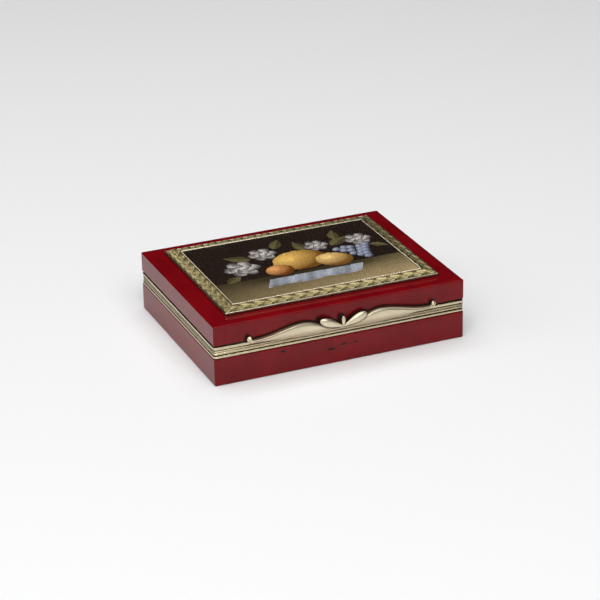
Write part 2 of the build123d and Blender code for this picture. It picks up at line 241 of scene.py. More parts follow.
def thumbpieceShade(x, y, z, grain):
    # Painted shade below a line that follows the wings, and in ovals, on the front of the lid alone
    look = redStone
    span = 4.0            # the ramp holds heights from the lid's lower edge up to this
    reach = look["thumbShadeLine"][-1][0]
    stops = [(u / reach, ((height - lidLow[2]) / span,) * 3) for u, height in look["thumbShadeLine"]]
    sockets = {"Fac": x.abs() / reach}
    line = grain.finish.node("ValToRGB", {"stops": stops}, sockets, "Color") * span + lidLow[2]
    darkening = (line - z + (grain - 0.5) * 0.3).step(-0.12, 0.12) * x.abs().step(reach, reach - 0.4)
    for oval in look["ovalShade"]:
        darkening = darkening.largest(ovalDistance(x.abs(), z, oval).step(1.15, 0.75))
    return darkening * y.step(stoneFront + 0.4, stoneFront + 0.1) * z.step(lidLow[2] - 1, lidLow[2])


def makeRedStone():
    # Clouds of two reds, thin dark veins where a warped noise crosses its middle, flecks, and
    # painted shade round the thumbpiece and along the rims
    look = redStone
    stone = Finish("redStone", Roughness=look["roughness"], IOR=look["ior"])
    x, y, z = stone.axis("X"), stone.axis("Y"), stone.axis("Z")
    clouds = stone.noise(look["cloudSize"], detail=4.0, warp=0.6)
    grain = stone.noise(0.7, detail=3.0)
    colour = stone.mix(clouds.step(0.3, 0.7) * 0.75 + grain * 0.25, look["deep"], look["bright"])
    web = stone.noise(16.0, detail=5.0, roughness=0.6, warp=1.2, move=(3.1, 7.7, 1.3))
    veins = (web - 0.5).abs().step(0.012, 0.0) * stone.noise(11.0, move=(9, 2, 5)).step(0.55, 0.75)
    marks = stoneFlecks(stone, x, y, z)
    # painted shade behind the thumbpiece, and in thin lines where the stones meet the rims
    darkening = thumbpieceShade(x, y, z, grain)
    rimShade = ((z - baseTop).abs().step(0.3, 0.12) * 0.6).largest((z - lidLow[2]).abs().step(0.38, 0.2))
    colour = stone.mix(veins * 0.55, colour, look["vein"])
    colour = stone.mix(marks * 0.97, colour, look["darkening"])
    colour = stone.mix(darkening.largest(rimShade) * 0.95, colour, look["darkening"])
    dark = (veins * 0.55).largest(marks * 0.97)
    return stone.set(
        Base_Color=colour,
        Roughness=look["roughness"] + (grain - 0.5) * 0.05 + dark * 0.12 + darkening * 0.5,
        Normal=stone.bump(stone.noise(14.0, detail=1.0), 0.02),
    ).material


# the colour of the painted shade on the gold pieces
goldShadeColour = (0.028, 0.017, 0.010)
goldLooks = {
    "gold": {
        "colour": (0.68, 0.58, 0.39), "shade": (0.46, 0.38, 0.25), "roughness": 0.27, "scratch": 0.008,
    },
    "brightGold": {
        "colour": (0.86, 0.78, 0.60), "shade": (0.70, 0.58, 0.38), "roughness": 0.24, "scratch": 0.003,
    },
    "thumbGold": {
        "colour": (0.77, 0.69, 0.50), "shade": (0.62, 0.54, 0.37), "roughness": 0.44, "scratch": 0.02,
    },
    "goldSheet": {
        "colour": (0.70, 0.58, 0.37), "shade": (0.60, 0.47, 0.28), "roughness": 0.36, "scratch": 0.008,
    },
    "goldWire": {
        "colour": (0.74, 0.60, 0.36), "shade": (0.50, 0.38, 0.20), "roughness": 0.30, "scratch": 0.004,
    },
    "trayMetal": {
        "colour": (0.55, 0.30, 0.17), "shade": (0.30, 0.15, 0.09), "roughness": 0.42, "scratch": 0.008,
    },
}


def makeGold(name):
    # Gold that is duller in patches, with hairline scratches: noise stretched along the box
    look = goldLooks[name]
    metal = Finish(name, Metallic=1.0, Roughness=look["roughness"])
    patches = metal.noise(6.0, detail=4.0).step(0.25, 0.8)
    colour = metal.mix(patches * 0.45, look["colour"], look["shade"])
    # painted shade, as strong as each piece's own values ask for
    colour = metal.mix(metal.read("grime") * 0.9, colour, goldShadeColour)
    hairs = metal.noise(0.25, detail=2.0, stretch=(0.08, 0.3, 1.0))
    rough = look["roughness"] + (patches - 0.5) * 0.05 + (hairs - 0.5) * 0.1
    return metal.set(
        Base_Color=colour,
        Roughness=rough,
        Normal=metal.bump(hairs, look["scratch"]),
    ).material


chasedGold = {
    "colour": (0.56, 0.48, 0.245),
    "ground": (0.30, 0.25, 0.115),
    # the colour of the painted shade on the garland
    "darkening": (0.035, 0.029, 0.012),
    "roughness": 0.4,
    "punchSize": 0.22,
}


def makeChasedGold():
    # Bright where the relief stands up, dark and punched with small rings in its hollows
    look = chasedGold
    metal = Finish("chasedGold", Metallic=1.0, Roughness=look["roughness"])
    relief = metal.read("relief")
    ground = relief.step(0.5, 0.15)
    colour = metal.mix(ground, look["colour"], look["ground"])
    # painted shade on the leaves' steep sides and on the far strips
    colour = metal.mix(metal.read("grime") * 0.9, colour, look["darkening"])
    patches = metal.noise(2.5, detail=3.0)
    colour = metal.mix(patches.step(0.4, 0.75) * 0.35, colour, look["ground"])
    cells = {"Vector": metal.place((1 / look["punchSize"],) * 3), "Scale": 1.0}
    punch = metal.node("TexVoronoi", {"feature": "F1", "voronoi_dimensions": "3D"}, cells, "Distance")
    height = punch * ground + metal.noise(0.3, detail=2.0) * 0.3
    return metal.set(
        Base_Color=colour,
        Roughness=look["roughness"] + ground * 0.2 + (patches - 0.5) * 0.12,
        Normal=metal.bump(height, 0.05),
    ).material


mosaicLook = {"grout": (0.03, 0.022, 0.014), "roughness": 0.26, "ior": 1.16}


def makeMosaicGlass():
    # Each tessera carries its own colour; the joints show dark mastic
    glass = Finish("mosaicGlass", Roughness=mosaicLook["roughness"], IOR=mosaicLook["ior"])
    tile = glass.read("tileColour", "Color")
    joint = glass.read("joint")
    streak = glass.noise(0.35, detail=2.0, stretch=(1, 2.2, 1))
    tile = glass.mix((streak - 0.4) * 0.25, tile, (0.0, 0.0, 0.0))
    colour = glass.mix(joint, tile, mosaicLook["grout"])
    return glass.set(
        Base_Color=colour,
        Roughness=mosaicLook["roughness"] + joint * 0.4 + (streak - 0.5) * 0.1,
        Normal=glass.bump(streak, 0.01),
    ).material


def makeMastic():
    mastic = Finish("mastic", Roughness=0.8)
    speckle = mastic.noise(0.5, detail=4.0)
    colour = mastic.mix(speckle, (0.42, 0.36, 0.27), (0.62, 0.56, 0.45))
    return mastic.set(Base_Color=colour, Normal=mastic.bump(speckle, 0.05)).material


finishes = {name: makeGold(name) for name in goldLooks}
finishes["redStone"] = makeRedStone()
finishes["chasedGold"] = makeChasedGold()
finishes["mosaicGlass"] = makeMosaicGlass()
finishes["mastic"] = makeMastic()

slotFinishes = {
    "red_stone": "redStone",
    "gold": "gold",
    "bright_gold": "brightGold",
    "chased_gold": "chasedGold",
    "thumb_gold": "thumbGold",
    "gold_sheet": "goldSheet",
    "gold_wire": "goldWire",
    "tray_metal": "trayMetal",
    "mastic": "mastic",
    "mosaic_glass": "mosaicGlass",
}
for part in frame["record"]["subparts"]:
    node = frame["nodes"][part["node"]]
    node.data.materials.clear()
    node.data.materials.append(finishes[slotFinishes[part["material_slot"]]])
print("stage: materials")


# Meshes from whole arrays


def addAttribute(mesh, name, kind, field, value):
    layer = mesh.attributes.new(name, kind, "POINT")
    layer.data.foreach_set(field, value.astype(np.float32).ravel())


def makePiece(name, points, faces, finish, body, slot, nodes=(), sharp=35.0, values=None, colours=None):
    # points is (n, 3) in millimetres; faces is a list of index arrays, one row per face
    mesh = bpy.data.meshes.new(name)
    mesh.vertices.add(len(points))
    mesh.vertices.foreach_set("co", (np.asarray(points) * mm).astype(np.float32).ravel())
    corners = np.concatenate([f.ravel() for f in faces]).astype(np.int32)
    totals = np.concatenate([np.full(len(f), f.shape[1], np.int32) for f in faces])
    mesh.loops.add(len(corners))
    mesh.loops.foreach_set("vertex_index", corners)
    mesh.polygons.add(len(totals))
    starts = np.concatenate([[0], np.cumsum(totals)[:-1]]).astype(np.int32)
    mesh.polygons.foreach_set("loop_start", starts)
    mesh.polygons.foreach_set("use_smooth", np.ones(len(totals), bool))
    mesh.update(calc_edges=True)
    for key, value in (values or {}).items():
        addAttribute(mesh, key, "FLOAT", "value", value)
    for key, value in (colours or {}).items():
        addAttribute(mesh, key, "FLOAT_COLOR", "color", value)
    mesh.validate()
    mesh.set_sharp_from_angle(angle=np.radians(sharp))
    mesh.materials.append(finishes[finish])
    piece = bpy.data.objects.new(name, mesh)
    bpy.context.scene.collection.objects.link(piece)
    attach(piece, body)
    if nodes:
        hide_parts(*nodes)
    return piece


def gridFaces(rows, columns, closeRows=False, closeColumns=False, start=0):
    # Quads of a grid of points stored row by row; a closed side joins the last to the first
    i = np.arange(rows if closeRows else rows - 1)[:, None]
    j = np.arange(columns if closeColumns else columns - 1)[None, :]
    nextI = (i + 1) % rows
    nextJ = (j + 1) % columns
    quads = [i * columns + j, i * columns + nextJ, nextI * columns + nextJ, nextI * columns + j]
    return np.stack([np.broadcast_to(q, (i.size, j.size)).ravel() for q in quads], 1) + start


def tubePiece(name, grid, finish, body, slot, capped=True, **more):
    # A closed section carried along a path: grid is (stations, section points, 3), ends capped
    stations, count = grid.shape[:2]
    faces = [gridFaces(stations, count, closeRows=not capped, closeColumns=True)]
    if capped:
        ring = np.arange(count)
        faces += [ring[None, ::-1], ((stations - 1) * count + ring)[None, :]]
    return makePiece(name, grid.reshape(-1, 3), faces, finish, body, slot, **more)


# The gold rims between the stones

rimLook = {
    "proud": 0.05,        # how far the rims stand out from the stones
    "corner": 1.0,
    "innerCorner": 2.0,
    "groove": 0.2,
    "grooveDepth": 0.35,
    "gap": 0.08,          # between the two rims, with the lid shut
    # painted shade: how dark the neck, the groove, the strip's edges and half of the bead are
    "grime": 1.1,         # how dark the grooves are
    "base": {"bead": 0.95, "edge": 0.28, "neck": 0.02, "neckDepth": 0.36},
    "lid": {"bead": 0.56, "edge": 0.20, "neck": 0.35, "neckDepth": 0.50},
}
hingeLook = {"apexBefore": 0.12, "bevelAngle": 53.0}
bearerLow, bearerHigh = (np.array(v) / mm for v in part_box("base_hinge_bearer"))
liningHigh = np.array(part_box("base_lining")[1]) / mm
rimFront = stoneFront - rimLook["proud"]
rimHalf = (lidHigh[0] + rimLook["proud"], stoneBack + rimLook["proud"])
cornerPoints = 11         # in each rounded corner of a rim or a wire


def roundedPath(halfLength, halfDepth, radius, breaks):
    # Points round a rectangle with round corners, anticlockwise from above; breaks are the
    # shares of each straight side at which it has points, first for the sides along Y
    quarter = np.linspace(0, np.pi / 2, cornerPoints)
    sides = []
    for turn, (sx, sy) in enumerate([(1, -1), (1, 1), (-1, 1), (-1, -1)]):
        angle = quarter + (turn - 1) * np.pi / 2
        centre = np.array([sx * (halfLength - radius), sy * (halfDepth - radius)])
        sides.append(centre + radius * np.stack([np.cos(angle), np.sin(angle)], 1))
    path = []
    for turn in range(4):
        start, end = sides[turn][-1], sides[(turn + 1) % 4][0]
        path += [sides[turn], start + (end - start) * np.array(breaks[turn % 2])[:, None]]
    return np.concatenate(path)


def makeRim(name, node, body, bottom, top):
    # The section runs up the outside of the base's rim: a neck at the stone, a flat strip with
    # quarter-round edges, a groove and a half-round bead (cos a, sin a) at the parting line. The
    # lid's is the same upside down. Depth is the distance in from the rim's face.
    shape = rimLook[body]
    upward = body == "base"
    half, curve, neck, groove = shape["bead"] / 2, shape["edge"], shape["neck"], rimLook["groove"]
    angle = np.linspace(-np.pi / 2, np.pi / 2, 17)
    beadDepth, beadZ = half - half * np.cos(angle), half + half * np.sin(angle)
    quarter = np.linspace(0, np.pi / 2, 6)
    low, high = curve - curve * np.cos(quarter), curve - curve * np.sin(quarter)
    flat = top - bottom - shape["bead"] - groove - neck
    flatDepth = np.concatenate([high, low])
    flatZ = neck + np.concatenate([low, flat - high])
    wall = rimHalf[0] - liningHigh[0]
    step = stoneBack + rimLook["proud"] - bearerLow[1]
    depth = np.concatenate([[wall, shape["neckDepth"], shape["neckDepth"]], flatDepth,
                            [rimLook["grooveDepth"]] * 2, beadDepth,
                            [step - 0.005, step + 0.005, wall]])
    z = np.concatenate([[0, 0, neck], flatZ, [flat + neck, flat + neck + groove],
                        flat + neck + groove + beadZ, [top - bottom] * 3])
    # painted shade in the neck and the groove, on the strip's rounded edges and on the bead's half next to the
    # groove
    dark = np.concatenate([[0, 1, 1], smooth(0.08, 0.25, flatDepth), [1, 1],
                           smooth(0.08, 0.25, beadDepth) * (angle < 0), [0, 0, 0]]) * rimLook["grime"]
    z = bottom + z if upward else top - z
    if not upward:
        depth, z, dark = depth[::-1], z[::-1], dark[::-1]
    reach = bearerHigh[0] / (rimHalf[0] - rimLook["corner"]) / 2
    breaks = sorted([0.5] + [0.5 + way * reach + aside for way in (-1, 1) for aside in (-1e-4, 1e-4)])
    outer = roundedPath(*rimHalf, rimLook["corner"], [breaks] * 2)[:, None]
    inner = roundedPath(*liningHigh[:2], rimLook["innerCorner"], [breaks] * 2)[:, None]
    share = (depth / wall)[None, :, None]
    plan = outer * (1 - share) + inner * share
    x, y = plan[..., 0], plan[..., 1]
    z = np.broadcast_to(z[None, :], x.shape).copy()
    overHinge = (np.abs(x) < bearerHigh[0]) & (y > bearerLow[1])
    cut = bearerLow[2] if upward else 2 * partingZ - bearerLow[2]
    z = np.where(overHinge, np.minimum(z, cut) if upward else np.maximum(z, cut), z)
    slope = np.tan(np.radians(hingeLook["bevelAngle"]))
    y = np.minimum(y, hingeY - hingeLook["apexBefore"] + np.abs(z - partingZ) / slope)
    return tubePiece(name, np.stack([x, y, z], 2), "gold", body, "gold", capped=False, nodes=(node,),
                     sharp=40, values={"grime": np.broadcast_to(dark, x.shape)})


makeRim("base_rim_worked", "base_rim", "base", baseTop, partingZ - rimLook["gap"] / 2)
makeRim("lid_rim_worked", "lid_rim", "lid", partingZ + rimLook["gap"] / 2, lidLow[2])
print("stage: rims")


# Thumbpiece: two wings with rolled tips, two petals and a bud

wingLook = {
    # distance from the middle and height, in millimetres, of the upper and the lower line
    "upper": [(0, 12.9), (2, 13.02), (4, 13.4), (6, 14.05), (8, 14.95), (10.5, 15.88), (12.5, 16.18),
              (15, 16.08), (18, 15.6), (21, 14.97), (24, 14.3), (27, 13.85), (30.7, 13.65)],
    "lower": [(0, 11.31), (15, 11.31), (18, 11.55), (21, 12.05), (24, 12.42), (27, 12.6), (30.7, 12.72)],
    "foot": 11.31,
    "footProud": 0.35,    # the face leans out from the rim as it rises
    "proud": 2.0,
    "leanHeight": 3.2,
    # how far the rounding of the upper edge reaches down and back, at some distances
    "upperRound": [(0, 0.3), (5, 0.35), (9, 0.9), (12, 1.2), (15, 0.8), (18, 0.3), (20, 0.16),
                   (30.7, 0.14)],
    "upperDrop": [(0, 0.25), (5, 0.3), (9, 0.55), (12, 0.7), (15, 0.45), (18, 0.2), (20, 0.14),
                  (30.7, 0.12)],
    "lowerRound": 0.14,
    "lineDepth": 0.15,
    "lineBelow": 0.45,
    "lineHalfWidth": 0.13,
    "sink": 0.03,         # how far its back is let into the stone and the rim
    "stations": 241,
}


def through(points, at):
    # A smooth curve through points: cubic pieces with slopes from the neighbours
    points = np.array(points, float)
    x, y = points.T
    slope = np.gradient(y, x)
    k = np.clip(np.searchsorted(x, at) - 1, 0, len(x) - 2)
    width = x[k + 1] - x[k]
    t = (at - x[k]) / width
    first = (1 + 2 * t) * (1 - t) ** 2 * y[k] + t * (1 - t) ** 2 * width * slope[k]
    second = t * t * (3 - 2 * t) * y[k + 1] + t * t * (t - 1) * width * slope[k + 1]
    return first + second


def makeWings():
    # Sections at even distances along the box: a quarter ellipse at the upper edge, wide on
    # the crest and crisp elsewhere, a face that leans out on a sine, and a small quarter round
    # below. An engraved line follows the upper edge on the outer slopes. The top side is flat
    # and runs back to the stone.
    look = wingLook
    x = np.linspace(-1, 1, look["stations"]) * look["upper"][-1][0]
    u = np.abs(x)
    curves = ("upper", "lower", "upperRound", "upperDrop")
    top, low, wide, drop = (through(look[key], u)[:, None] for key in curves)
    wide = np.minimum(wide, 0.5 * (top - low))
    edge = look["lowerRound"]

    def lean(z):
        rise = np.clip((z - look["foot"]) / look["leanHeight"], 0, 1)
        return look["footProud"] + (look["proud"] - look["footProud"]) * np.sin(np.pi / 2 * rise)

    angle = np.linspace(np.pi / 2, 0, 9)[None, :]
    upperZ = top - wide * (1 - np.sin(angle))
    upperOut = lean(upperZ) - drop * (1 - np.cos(angle))
    share = (np.arange(1, 27) / 27)[None, :] ** 1.4
    faceZ = top - wide - (top - wide - low - edge) * share
    angle = np.linspace(0, np.pi / 2, 5)[None, :]
    lowerZ = low + edge * (1 - np.sin(angle))
    lowerOut = lean(lowerZ) - edge * (1 - np.cos(angle))
    z = np.concatenate([upperZ, faceZ, lowerZ], 1)[:, ::-1]
    out = np.concatenate([upperOut, lean(faceZ), lowerOut], 1)[:, ::-1]
    sloping = smooth(13, 17, u) * smooth(30.4, 28.5, u)
    line = np.exp(-((top - z - look["lineBelow"]) / look["lineHalfWidth"]) ** 2) * sloping[:, None]
    y = stoneFront - out + look["lineDepth"] * line
    front = np.stack([np.broadcast_to(x[:, None], z.shape), y, z], 2)
    rimFace = rimFront + look["sink"]
    onStone = stoneFront + look["sink"]
    back = [(onStone, top[:, 0]), (onStone, lidLow[2] + hair + 0 * u), (rimFace, lidLow[2] - hair + 0 * u),
            (rimFace, low[:, 0])]
    back = np.stack([np.stack([x, y0 + 0 * u, z0], 1) for y0, z0 in back], 1)
    grid = np.concatenate([front, back], 1)
    # painted shade in the engraved line, under the petals, along the foot and on the crest, and all over the top
    # side and the back
    grime = np.zeros(grid.shape[:2])
    foot = smooth(0.5, 0.0, z - low)
    crest = smooth(1.1, 0.0, top - z) * smooth(6, 10, u)[:, None] * smooth(19, 13, u)[:, None]
    petal = smooth(1.15, 0.85, np.sqrt(ovalDistance(u[:, None], z, redStone["ovalShade"][0])))
    grime[:, :front.shape[1]] = np.max([line, petal * 0.85, foot * 0.35, crest * 0.5], 0)
    grime[:, front.shape[1]:] = 1.1
    return tubePiece("thumb_wings_worked", grid, "thumbGold", "lid", "thumb_gold", nodes=("thumb_wings",),
                     values={"grime": grime})


dropLook = {
    "petal": {"root": (0.3, 12.99), "length": 8.1, "width": 2.7, "lean": 21.5},
    "bud": {"root": (0.0, 12.79), "length": 3.4, "width": 1.3, "lean": 90.0},
    "stand": 1.75,        # how far the middle line stands in front of the stone
    "fullest": 0.64,
    "rootWidth": 0.3,
    "rim": 0.12,
    "thickness": 0.7,     # share of the half width
}


def makeDrop(name, kind, side, nodes):
    # A drop whose half width rises on a sine from its root to the fullest place and closes on
    # a quarter ellipse at the end, with a low rim round its face
    look = dropLook
    root, length, width, lean = look[kind].values()
    t = (1 - np.cos(np.linspace(0, np.pi, 49))) / 2
    f = look["fullest"]
    rising = look["rootWidth"] + (1 - look["rootWidth"]) * np.sin(np.pi / 2 * np.clip(t / f, 0, 1)) ** 1.6
    closing = np.sqrt(np.clip(1 - ((t - f) / (1 - f)) ** 2, 0, 1))
    half = width / 2 * np.where(t < f, rising * np.sqrt(np.clip(t / 0.06, 0, 1)), closing)
    angle = np.linspace(0, 2 * np.pi, 33)[:-1][None, :]
    across = np.cos(angle) * half[:, None]
    # the section has a flat face: its depth is a root of 1 - |cos|^3
    face = np.sign(np.sin(angle)) * (1 - np.abs(np.cos(angle)) ** 3) ** 0.6
    deep = look["thickness"] * face * half[:, None]
    rim = look["rim"] * np.exp(-((np.abs(np.cos(angle)) - 0.78) / 0.14) ** 2) * np.clip(np.sin(angle), 0, 1)
    deep = deep + rim * (half[:, None] / half.max())
    along = t[:, None] * length + 0 * angle
    c, s = np.cos(np.radians(lean)), np.sin(np.radians(lean))
    x = side * (root[0] + along * c - across * s)
    z = root[1] + along * s + across * c
    y = stoneFront - look["stand"] - deep
    grid = np.stack([x, y, z], 2)
    # painted shade on the back half of the drop
    dark = 0.5 * smooth(0.3, -0.1, np.sin(angle)) + 0 * half[:, None]
    if side > 0:
        grid, dark = grid[:, ::-1], dark[:, ::-1]
    return tubePiece(name, grid, "thumbGold", "lid", "thumb_gold", nodes=nodes, sharp=60,
                     values={"grime": dark})


scrollLook = {
    "centre": (30.7, 14.35),
    "ball": 0.66,
    "path": 0.66,         # radius of the wire's turn, before it winds in
    "thick": 0.3,
    "turn": (-150, 265),  # where the wire starts, and how far it goes round, in degrees
    "proud": 1.35,
}


def makeScroll(name, side, nodes):
    # A ball, and a tapering wire that leaves the wing's tip below it, turns outwards round the
    # ball and ends on its top
    look = scrollLook
    centreX, centreZ = look["centre"]
    polar = np.linspace(0, np.pi, 15)[:, None]
    turn = np.linspace(0, 2 * np.pi, 25)[:-1][None, :]
    ball = look["ball"] * np.stack([np.sin(polar) * np.cos(turn), -np.sin(polar) * np.sin(turn),
                                    np.cos(polar) + 0 * turn], 2)
    ballGrid = ball + [centreX, stoneFront - look["proud"], centreZ]
    t = np.linspace(0, 1, 31)[:, None]
    angle = np.radians(look["turn"][0] + look["turn"][1] * t)
    reach = look["path"] * (1.25 - 0.3 * t)
    thick = look["thick"] * (1.25 - 0.75 * t)
    around = np.linspace(0, 2 * np.pi, 17)[:-1][None, :]
    radial = reach + thick * np.cos(around)
    wireX = centreX + radial * np.cos(angle)
    wireZ = centreZ + radial * np.sin(angle)
    wireY = stoneFront - look["proud"] + 0.1 - thick * np.sin(around)
    wire = np.stack([wireX, wireY, wireZ], 2)[:, ::-1]
    faces = []
    points = []
    start = 0
    for grid in (ballGrid, wire):
        rows, columns = grid.shape[:2]
        faces.append(gridFaces(rows, columns, closeColumns=True, start=start))
        ring = np.arange(columns) + start
        faces += [ring[None, ::-1], (ring + (rows - 1) * columns)[None, :]]
        points.append(grid.reshape(-1, 3))
        start += rows * columns
    points = np.concatenate(points)
    if side < 0:
        points = points * [-1, 1, 1]
        faces = [f[:, ::-1] for f in faces]
    # painted shade, growing towards the stone
    dark = 0.5 * smooth(0.0, 0.5, points[:, 1] - stoneFront + look["proud"])
    return makePiece(name, points, faces, "thumbGold", "lid", "thumb_gold", nodes=nodes, sharp=60,
                     values={"grime": dark})


makeWings()
for side, word in ((1, "right"), (-1, "left")):
    makeDrop("thumb_petal_worked_" + word, "petal", side, ("thumb_petal_" + word,))
    makeScroll("thumb_scroll_worked_" + word, side, ("thumb_scroll_" + word,))
makeDrop("thumb_bud_worked", "bud", 1, ("thumb_bud",))
print("stage: thumbpiece")


# The chased border: four strips of laurel in low relief

garlandLook = {
    # each row of leaves: distance from the stem, length, width, splay, share of the pitch
    "rows": [(-0.25, 4.3, 1.55, -17.0, 0.0), (0.25, 4.3, 1.55, 17.0, 0.5), (-0.2, 2.7, 1.0, -34.0, 0.42),
             (0.2, 2.7, 1.0, 34.0, 0.92), (0.0, 3.0, 1.2, 0.0, 0.25), (0.0, 3.0, 1.2, 0.0, 0.75)],
    # each berry: distance from the stem, radius, share of the pitch
    "berries": [(-1.05, 0.34, 0.62), (1.05, 0.34, 0.12)],
    "pitch": 4.6,
    "rise": 0.5,
    "outerHeight": 1.0,   # of the ground over the lid, at the outer wire
    "innerRise": 0.25,    # how much higher the ground is at the mosaic
    "gridStep": 0.09,
    # painted shade: the right and back strips are made darker all over
    "darkening": {"front": 0.0, "left": 0.0, "right": 0.5, "back": 0.5},
}
bandLow, bandHigh = (np.array(v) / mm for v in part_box("frame_front"))
bandOut = np.array([bandHigh[0], -bandLow[1]])
bandWidth = bandHigh[1] - bandLow[1]


def leafHeight(s, t, rootS, rootT, length, width, lean):
    # Height of one leaf over the strip: a pointed oval, domed across, rising from its root
    # to its tip, with a cut midrib and slanting veins
    c, k = np.cos(np.radians(lean)), np.sin(np.radians(lean))
    along = (-(s - rootS) * c + (t - rootT) * k) / length
    across = ((s - rootS) * k + (t - rootT) * c)
    inside = np.clip(along, 0, 1)
    half = width / 2 * np.sin(np.pi * inside ** 1.7) ** 0.7 + 1e-6
    v = across / half
    dome = np.clip(1 - v * v, 0, 1) ** 0.5
    rib = 1 - 0.4 * np.exp(-(across / 0.1) ** 2)
    veins = 1 - 0.28 * np.cos(np.pi * (inside * length / 0.42 + np.abs(v) * 1.3)) ** 2
    body = (0.5 + 0.5 * inside) * dome * rib * veins
    return np.where((along > 0) & (along < 1) & (np.abs(v) < 1), body, 0)


def garlandHeight(s, t):
    # The highest of all the leaves and berries; the pattern is folded into one pitch
    look = garlandLook
    height = np.zeros_like(s)
    pitch = look["pitch"]
    local = s - pitch * np.floor(s / pitch)
    stem = t - bandWidth / 2
    for k in range(-1, 3):
        for place, length, width, splay, share in look["rows"]:
            leaf = leafHeight(local, stem, (k + share) * pitch, place, length, width, splay)
            height = np.maximum(height, leaf)
        for place, radius, share in look["berries"]:
            r = np.hypot(local - (k + share) * pitch, stem - place) / radius
            height = np.maximum(height, np.clip(1 - r * r, 0, 1) ** 0.5)
    return height


def makeGarland(side):
    # A mitred strip: every row of points across it ends on the two mitres
    look = garlandLook
    alongX = side in ("front", "back")
    half, other = (bandOut[0], bandOut[1]) if alongX else (bandOut[1], bandOut[0])
    steps = int(2 * half / look["gridStep"])
    share = np.linspace(-1, 1, steps + 1)[:, None]
    t = np.linspace(0, bandWidth, int(bandWidth / look["gridStep"]) + 1)[None, :]
    s = share * (half - t)
    relief = garlandHeight(s, t + 0 * s)
    z = lidTop + look["outerHeight"] + look["innerRise"] * (t / bandWidth) + look["rise"] * relief
    slopeAlong = np.gradient(z, axis=0) / (2 * half / steps)
    slopeAcross = np.gradient(z, axis=1) / (t[0, 1] - t[0, 0])
    # painted shade on the steep sides of the leaves, spread a little from there
    grime = smooth(1.0, 2.4, np.hypot(slopeAlong, slopeAcross))
    for move in ((1, 0), (-1, 0), (2, 0), (0, 1), (0, -1)):
        grime = np.maximum(grime, 0.9 * np.roll(grime, move, (0, 1)))
    grime = np.clip(grime + look["darkening"][side], 0, 1)
    top = np.stack([s, -(other - t) + 0 * s, z], 2)
    foot = np.stack([np.stack([s[:, k], 0 * s[:, k] - (other - t[0, k]), 0 * s[:, k] + lidTop + hair], 1)
                     for k in (-1, 0)], 1)
    grid = np.concatenate([top, foot], 1)
    turn = {"front": 0, "right": 1, "back": 2, "left": 3}[side]
    c, k = np.cos(turn * np.pi / 2), np.sin(turn * np.pi / 2)
    x, y = grid[..., 0] * c - grid[..., 1] * k, grid[..., 0] * k + grid[..., 1] * c
    grid = np.stack([x, y, grid[..., 2]], 2)
    pad = np.zeros((len(s), 2))
    values = {"relief": np.concatenate([relief, pad + 0.5], 1), "grime": np.concatenate([grime, pad], 1)}
    return tubePiece("garland_" + side, grid[:, ::-1], "chasedGold", "lid", "chased_gold", sharp=80,
                     nodes=("frame_" + side,), values={k: v[:, ::-1] for k, v in values.items()})


for side in ("front", "right", "back", "left"):
    makeGarland(side)
print("stage: garland")


# The two wires of the plaque: a milled one round the mosaic, a plain one on the stone

wireLook = {
    # painted shade: how dark each wire's sides and foot are
    "mosaic_bezel": {"width": 0.55, "corner": 0.2, "pitch": 0.55, "notch": 0.32, "grime": 0.25},
    "frame_wire": {"width": 0.5, "corner": 0.3, "pitch": 4.0, "notch": 0.03, "grime": 0.7},
}
pitchSteps = 6            # points of a wire in each pitch
sharpCorner = 0.02        # inside the wires' corners


def makeWire(node):
    # A half-round section on upright sides, carried round the plaque; its crest falls and
    # rises on a cosine along the path, once in each pitch
    look = wireLook[node]
    low, high = (np.array(v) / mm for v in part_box(node))
    halfLength, halfDepth = high[:2]
    sides = [int(2 * h / look["pitch"]) * pitchSteps for h in (halfDepth, halfLength)]
    breaks = [np.arange(1, n) / n for n in sides]
    outer = roundedPath(halfLength, halfDepth, look["corner"], breaks)[:, None]
    innerHalf = high[:2] - look["width"]
    inner = roundedPath(*innerHalf, sharpCorner, breaks)[:, None]
    angle = np.linspace(0, np.pi, 11)
    share = np.concatenate([[0], (1 - np.cos(angle)) / 2, [1]])
    crown = min(0.5 * look["width"], high[2] - low[2])
    rise = np.concatenate([[0], np.sin(angle), [0]])[None, :]
    plan = outer * (1 - share[None, :, None]) + inner * share[None, :, None]
    corner = np.zeros(cornerPoints)
    along = np.concatenate([corner, np.arange(1, sides[0]), corner, np.arange(1, sides[1])])
    along = np.tile(along, 2)[:len(plan)]
    milled = 1 - look["notch"] * (0.5 + 0.5 * np.cos(2 * np.pi * along / pitchSteps))[:, None]
    z = high[2] - crown + crown * rise * milled
    foot = (rise == 0) & (np.arange(len(share))[None, :] % (len(share) - 1) == 0)
    z = np.where(foot, low[2] + hair / 2, z)
    # painted shade, darkest on the wire's sides and foot and lightest on its crest
    dark = look["grime"] * (1 - rise) + 0 * milled
    return tubePiece(node + "_worked", np.concatenate([plan, z[..., None]], 2), "brightGold", "lid",
                     "bright_gold", capped=False, nodes=(node,), sharp=60, values={"grime": dark})


for node in wireLook:
    makeWire(node)
print("stage: wires")


# The mosaic: a bed of dark cement with thousands of small glass tiles set in wavy rows

mosaicShape = {
    "margin": 0.12,       # between the outermost tiles and the edge of the panel
    "tile": 0.45,
    "joint": 0.022,
    "bevel": 0.03,
    "below": 0.05,        # how far the cement lies below the tiles' faces
    "wave": 0.18,
}
squareCorners = np.array([(-1, -1), (1, -1), (1, 1), (-1, 1)])
